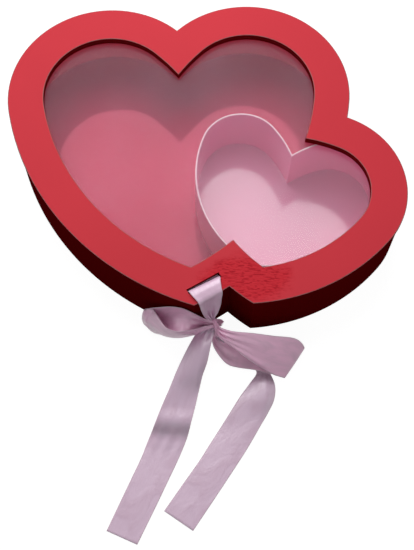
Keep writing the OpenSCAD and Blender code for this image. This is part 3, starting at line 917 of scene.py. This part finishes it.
@dataclass
class Bow:
    """The bow: a strap out of the slot, a knot, two loops and two tails of one satin ribbon."""

    finishes: Finishes
    edge: FrontEdge = FrontEdge()

    def strap(self) -> RibbonRun:
        """The ribbon from its glued end up through the slot, over the edge and down to the knot."""
        at = self.edge.at
        # Its left and right ends along the edge, how far they lie into the lid, the height, and the
        # bulge, the curl and the pleat
        table = (
            (-12.4, 12.4, 20.5, 20.5, 52.5, 0.0, 0.0, 0.0), (-12.4, 12.4, 14.0, 14.0, 52.5, 0.0, 0.0, 0.0),
            (-12.4, 12.4, 12.3, 11.6, 52.9, 0.0, 0.0, 0.0), (-12.4, 12.4, 11.8, 10.6, 54.6, 0.0, 0.0, 0.0),
            (-12.5, 12.2, 10.9, 9.6, 56.2, 0.0, 0.0, 0.0), (-12.4, 11.6, 9.0, 8.0, 57.3, 0.2, 0.0, 0.0),
            (-12.1, 10.2, 6.0, 5.4, 57.8, 0.4, 0.1, 0.0), (-11.4, 9.0, 2.6, 2.4, 57.4, 0.2, 0.3, 0.0),
            (-11.1, 8.4, 0.9, 0.9, 57.1, 0.0, 0.3, 0.0), (-10.9, 8.0, -0.6, -0.5, 56.2, -0.2, 0.4, 0.0),
            (-10.8, 7.5, -1.4, -1.3, 54.0, -0.5, 0.6, 0.0), (-10.6, 6.2, -2.4, -2.3, 50.0, -1.2, 1.0, 0.0),
            (-9.9, 4.2, -4.0, -4.0, 44.0, -2.0, 1.4, 0.0), (-8.2, 1.2, -5.8, -5.8, 37.0, -2.4, 1.2, 0.9),
            (-5.0, -2.2, -7.4, -7.4, 32.0, -0.8, 0.5, 1.9), (-3.6, -2.4, -8.2, -8.2, 29.5, -0.3, 0.2, 1.9))
        rows = tuple(Row(at(left, a, z), at(right, b, z), bulge=bulge, curl=curl, pleat=pleat)
                     for left, right, a, b, z, bulge, curl, pleat in table)
        return RibbonRun("ribbon_strap_satin", ("ribbon_strap",), rows, 52.0, Hold.FOLDED,
                         ("lid_upper_board_wrapped",), steps=7, painted_bounce=0.25)

    def left_loop(self) -> RibbonRun:
        """The left loop: out along its back leaf, round its end, and back along its front leaf."""
        rows = (
            Row((30.6, -172.8, 29), (30.2, -174.8, 24), pleat=0.6),
            Row((23.4, -171.6, 31), (22.8, -175.6, 21), -1.0, pleat=0.9),
            Row((17.2, -171.0, 38), (17.0, -180.0, 26), -1.6, 0.55, pleat=0.5),
            Row((13.0, -170.4, 42), (13.0, -183.4, 31.5), -2.6, 0.5),
            Row((8.3, -169.0, 44), (8.6, -184.8, 34.5), -3.2, 0.45),
            Row((3.7, -167.5, 43), (3.8, -184.6, 34), -3.4, 0.45),
            Row((-2.6, -165.4, 38.5), (-2.2, -182.4, 29.5), -3.4, 0.45),
            Row((-9.4, -163.8, 32.6), (-8.8, -178.4, 21), -3.0, 0.5),
            Row((-16.0, -163.4, 29.5), (-16.0, -172.4, 12), -2.0),
            Row((-20.6, -163.9, 28), (-21.4, -167.4, 4), -0.8),
            Row((-20.7, -164.9, 28), (-22.0, -166.4, 3.6), -2.4, 0.42),
            Row((-17.8, -163.7, 29), (-20.0, -168.5, 3.6), -4.4, 0.42, pleat=0.3),
            Row((-14.1, -164.5, 29.4), (-17.0, -171.4, 3.4), -5.0, 0.4, pleat=0.3),
            Row((-11.3, -169.6, 33), (-13.8, -173.9, 5.2), -4.0, 0.34, pleat=0.2),
            Row((-8.7, -175.4, 36), (-9.9, -175.7, 6.6), -3.2, 0.38, curl=0.4),
            Row((-5.3, -181.2, 39), (-6.2, -177.1, 7.8), -2.4, 0.42, curl=0.6),
            Row((-0.9, -184.4, 41), (-1.8, -178.1, 8.8), -2.0, 0.45, curl=0.6),
            Row((4.2, -185.4, 41), (3.5, -178.0, 9.2), -2.0, curl=0.6),
            Row((9.7, -184.2, 39.6), (9.4, -177.2, 9.8), -2.0, curl=0.6),
            Row((15.2, -181.2, 35.8), (15.2, -176.6, 12), -1.6, pleat=0.3),
            Row((21.6, -176.6, 29.4), (21.6, -176.2, 17), -1.0, pleat=0.8),
            Row((30.4, -174.4, 28.6), (30.4, -175.8, 22.8), pleat=0.6))
        return RibbonRun("ribbon_loop_left_satin", ("ribbon_loop_left",), rows, 131.0, Hold.FOLDED,
                         ("ribbon_knot_satin",), steps=8, painted_bounce=0.8)

    def right_loop(self) -> RibbonRun:
        """The right loop: out along its upper leaf, over its folded end, and back along the ground."""
        rows = (
            Row((29.7, -173.4, 29.5), (29.4, -176.4, 27.5), pleat=0.7),
            Row((33.0, -176.8, 31), (31.0, -180.6, 27), 0.0, pleat=1.0),
            Row((36.6, -179.0, 32), (35.1, -184.6, 25), -0.6, pleat=1.1, roll=-0.5),
            Row((44.0, -181.0, 32.8), (42.6, -189.0, 23), -1.0, pleat=0.5, roll=-1.0),
            Row((57.0, -182.0, 32.8), (51.6, -195.0, 19.6), -1.2, pleat=0.2, roll=-1.3),
            Row((72.7, -183.2, 31), (64.3, -201.6, 13), -1.2, roll=-1.0),
            Row((84.0, -183.0, 28), (72.5, -205.0, 9.4), -1.2),
            Row((90.5, -183.8, 24), (78.6, -206.2, 7.0), -0.6),
            Row((94.6, -186.6, 18), (81.4, -206.0, 4.6), -0.3),
            Row((93.6, -185.6, 9), (79.6, -204.4, 2.6), -0.3),
            Row((84.0, -181.5, 5), (70.8, -202.3, 2.2), 0.4),
            Row((68.0, -180.0, 5), (59.5, -199.8, 2.4), 0.6),
            Row((53.0, -177.6, 8), (47.6, -198.2, 2.2), -0.6),
            Row((42.5, -175.6, 13), (39.9, -196.0, 2.6), -1.4, pleat=0.3),
            Row((35.6, -174.4, 18), (33.5, -190.6, 6.5), -1.8, pleat=0.7),
            Row((31.6, -174.0, 22), (28.9, -184.6, 13.9), -1.0, pleat=0.9),
            Row((29.4, -174.2, 24), (28.4, -178.0, 21.5), pleat=0.5))
        return RibbonRun("ribbon_loop_right_satin", ("ribbon_loop_right",), rows, 144.0, Hold.FOLDED,
                         ("ribbon_knot_satin",), steps=8, painted_bounce=1.0)

    def left_tail(self) -> RibbonRun:
        """The left tail: down from the knot, along the ground over one soft hump, to its cut end."""
        rows = (
            Row((26.2, -174.2, 25), (31.0, -175.0, 25.5), pleat=0.4),
            Row((21.6, -175.9, 23), (29.9, -177.8, 24.5), 0.4, 0.3, pleat=0.6),
            Row((17.9, -177.0, 20), (29.7, -180.2, 23), 0.6, 0.3, pleat=0.4),
            Row((12.8, -185.2, 17.6), (27.3, -188.9, 22.4), 2.2, 0.62),
            Row((7.5, -195.7, 14.8), (25.1, -199.5, 19), 3.0, 0.72),
            Row((2.6, -206.8, 12.6), (21.8, -208.9, 15), 2.6, 0.8),
            Row((-1.5, -217.4, 10.8), (19.5, -219.2, 11.2), 0.5, 0.8),
            Row((-6.2, -228.9, 9.2), (17.0, -230.9, 9.4), -0.3),
            Row((-10.5, -240.5, 7.8), (14.4, -241.9, 8.0), 0.4),
            Row((-13.8, -248.0, 2.0), (12.2, -249.8, 2.2), 0.6, pleat=0.25),
            Row((-16.8, -256.0, 0.8), (9.1, -258.6, 1.0), 0.3, pleat=0.2),
            Row((-20.2, -265.7, 0.6), (5.1, -268.4, 0.6), 0.1),
            Row((-26.2, -279.8, 0.6), (-1.7, -283.9, 0.6)),
            Row((-33.0, -295.8, 0.6), (-9.4, -301.4, 0.6)),
            Row((-41.9, -316.7, 0.6), (-20.4, -325.6, 0.6)))
        return RibbonRun("ribbon_tail_left_satin", ("ribbon_tail_left",), rows, 164.0, Hold.LAID,
                         ("ribbon_knot_satin", "studio_floor"), steps=9, turns=1.0)

    def right_tail(self) -> RibbonRun:
        """The right tail: under the right loop, out from its front edge and along the ground."""
        rows = (
            Row((28.6, -175.0, 22), (31.0, -174.6, 22.5), pleat=0.4),
            Row((30.4, -178.6, 16), (34.0, -177.0, 16), 0.3, pleat=0.7),
            Row((35.8, -185.0, 6), (42.0, -180.8, 6), 0.3, pleat=0.6),
            Row((46.0, -191.4, 0.8), (55.4, -185.6, 0.9), 0.2, pleat=0.3),
            Row((56.3, -196.0, 0.7), (66.4, -192.4, 0.8), 0.2, pleat=0.1),
            Row((61.2, -201.4, 0.7), (71.4, -202.4, 1.2), 0.9, 0.5),
            Row((56.4, -209.6, 1.6), (74.6, -211.4, 0.9), 3.0, 0.58),
            Row((49.3, -219.9, 1.8), (73.8, -221.4, 0.8), 3.2, 0.7),
            Row((42.0, -232.0, 1.4), (69.4, -231.2, 0.8), 1.6, 0.8),
            Row((35.1, -243.4, 0.6), (64.0, -241.0, 1.2), 0.5, 0.8),
            Row((27.4, -256.0, 0.6), (55.4, -256.4, 0.8), 0.3),
            Row((21.3, -266.3, 0.6), (46.6, -270.6, 0.7), 0.2),
            Row((9.1, -284.5, 0.6), (32.8, -292.2, 0.6), 0.2),
            Row((-2.8, -302.4, 0.6), (17.6, -315.6, 0.6), 0.1))
        return RibbonRun("ribbon_tail_right_satin", ("ribbon_tail_right",), rows, 179.0, Hold.LAID,
                         ("studio_floor",), steps=8, turns=1.0)

    def knot_wrap(self) -> RibbonRun:
        """The band of ribbon pulled tight round the middle of the bow."""
        rows = (
            Row((36.3, -170.7, 24.5), (34.2, -174.5, 24.5)), Row((34.6, -170.1, 26.5), (32.9, -174.4, 26.5)),
            Row((32.1, -170.4, 28.5), (31.2, -173.1, 28.5)), Row((30.0, -171.2, 30.8), (29.6, -172.6, 30.5)),
            Row((28.3, -173.2, 32.4), (30.5, -172.5, 32.4)), Row((29.0, -175.3, 32.6), (31.7, -174.5, 32.6)),
            Row((30.2, -177.5, 31.8), (33.2, -176.7, 31.8)), Row((30.7, -179.6, 30.2), (34.0, -179.0, 30)),
            Row((30.3, -181.6, 28), (34.0, -181.4, 28)), Row((29.8, -181.4, 24.4), (33.4, -181.8, 24.4)),
            Row((29.4, -178.3, 20.5), (32.9, -178.6, 20.5)), Row((29.2, -174.9, 19.5), (32.3, -175.3, 19.5)))
        rows = tuple(Row(r.left, r.right, bulge=-0.6, pleat=1.15) for r in rows)
        return RibbonRun("ribbon_knot_satin", ("ribbon_knot",), rows, 34.0, Hold.GATHERED,
                         ("ribbon_strap_satin",), steps=6, across=80, waves=4.0, painted_bounce=1.0)

    def dress(self) -> None:
        """Builds every run of the bow."""
        for run in (self.strap(), self.knot_wrap(), self.left_loop(), self.right_loop(), self.left_tail(),
                    self.right_tail()):
            run.build(self.finishes.satin)


@dataclass(frozen=True)
class SoftLamp:
    """A round soft lamp that shines at the box.

    Its power is in watts, its height and its turn from the front towards the right are in degrees, and its
    distance and size are in metres.
    """

    name: str
    power: float
    height: float
    turn: float
    away: float
    size: float
    aim: Point = (-0.07, -0.05, 0.03)

    def build(self) -> None:
        """Hangs the lamp in its place."""
        e, t = math.radians(self.height), math.radians(self.turn)
        data = bpy.data.lights.new(self.name, "AREA")
        data.shape, data.size, data.energy = "DISK", self.size, self.power
        made = bpy.data.objects.new(self.name, data)
        way = Vector((math.cos(e) * math.sin(t), -math.cos(e) * math.cos(t), math.sin(e)))
        made.location = Vector(self.aim) + way * self.away
        made.rotation_mode = "QUATERNION"
        made.rotation_quaternion = way.to_track_quat("Z", "Y")
        made.visible_camera = False
        bpy.context.scene.collection.objects.link(made)


@dataclass
class Studio:
    """The camera at the photograph's view, the white floor, soft lamps all round and a white sky.

    The camera's target and distance and the floor's drop under the box are in millimetres, its elevation
    and roll in degrees, and the floor's reach to each side in metres. The lens is that of a 36 mm sensor,
    and the fill is the strength of the sky's light.
    """

    finishes: Finishes
    target: Point = (23.71, -124.9, 0.0)
    distance: float = 803.25
    elevation: float = 67.75
    roll: float = 1.13
    lens: float = 69.517
    sensor: float = 36.0
    floor_drop: float = 0.1
    floor_reach: float = 3.0
    fill: float = 0.19
    lamps: tuple[SoftLamp, ...] = (SoftLamp("key_lamp", 4.3, 57.0, 180.0, 0.66, 0.72),
                                   SoftLamp("front_lamp", 0.6, 38.0, 0.0, 0.9, 0.7),
                                   SoftLamp("left_lamp", 0.8, 20.0, -82.0, 0.8, 0.5),
                                   SoftLamp("right_lamp", 0.5, 20.0, 75.0, 0.8, 0.5))

    def camera(self) -> None:
        """Sets the camera up."""
        e, r = math.radians(self.elevation), math.radians(self.roll)
        back = Vector((0, -math.cos(e), math.sin(e)))
        right, up = Vector((1, 0, 0)), Vector((0, math.sin(e), math.cos(e)))
        side = math.cos(r) * right + math.sin(r) * up
        top = -math.sin(r) * right + math.cos(r) * up
        data = bpy.data.cameras.new("photo_camera")
        data.sensor_fit, data.sensor_width, data.lens = "AUTO", self.sensor, self.lens
        data.clip_start, data.clip_end = 0.01, 20.0
        made = bpy.data.objects.new("photo_camera", data)
        made.matrix_world = Matrix.Translation((Vector(self.target) + back * self.distance) * MM) @ Matrix(
            (side, top, back)).transposed().to_4x4()
        bpy.context.scene.collection.objects.link(made)
        bpy.context.scene.camera = made

    def floor(self) -> None:
        """Lays the white floor just under the box."""
        bm = bmesh.new()
        bmesh.ops.create_grid(bm, x_segments=2, y_segments=2, size=self.floor_reach)
        bmesh.ops.translate(bm, verts=bm.verts, vec=(0, 0, -self.floor_drop * MM))
        mesh = bpy.data.meshes.new("studio_floor")
        bm.to_mesh(mesh)
        bm.free()
        mesh.materials.append(self.finishes.floor)
        made = piece("studio_floor", mesh)
        report(made)

    def sky(self) -> None:
        """Makes a sky that looks white and lights the scene softly."""
        world = bpy.data.worlds.new("studio_sky")
        bpy.context.scene.world = world
        world.use_nodes = True
        g = Graph(world.node_tree)
        strength = g.math("ADD", g.math("MULTIPLY", g.seen(), 1.0 - self.fill), self.fill)
        g.feed(world.node_tree.nodes["Background"], {"Color": (1, 1, 1, 1), "Strength": strength})

    def build(self) -> None:
        """Builds the whole studio."""
        self.camera()
        self.floor()
        for lamp in self.lamps:
            lamp.build()
        self.sky()
        bpy.context.scene.view_settings.view_transform = "Standard"


def main() -> None:
    """Builds the studio and the box."""
    logging.basicConfig(level=logging.INFO, format="%(message)s")
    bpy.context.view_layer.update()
    finishes = Finishes()
    Studio(finishes).build()
    Base(finishes).dress()
    Lid(finishes).dress()
    Tray(finishes).dress()
    Bow(finishes).dress()


if __name__ == "__main__":
    main()
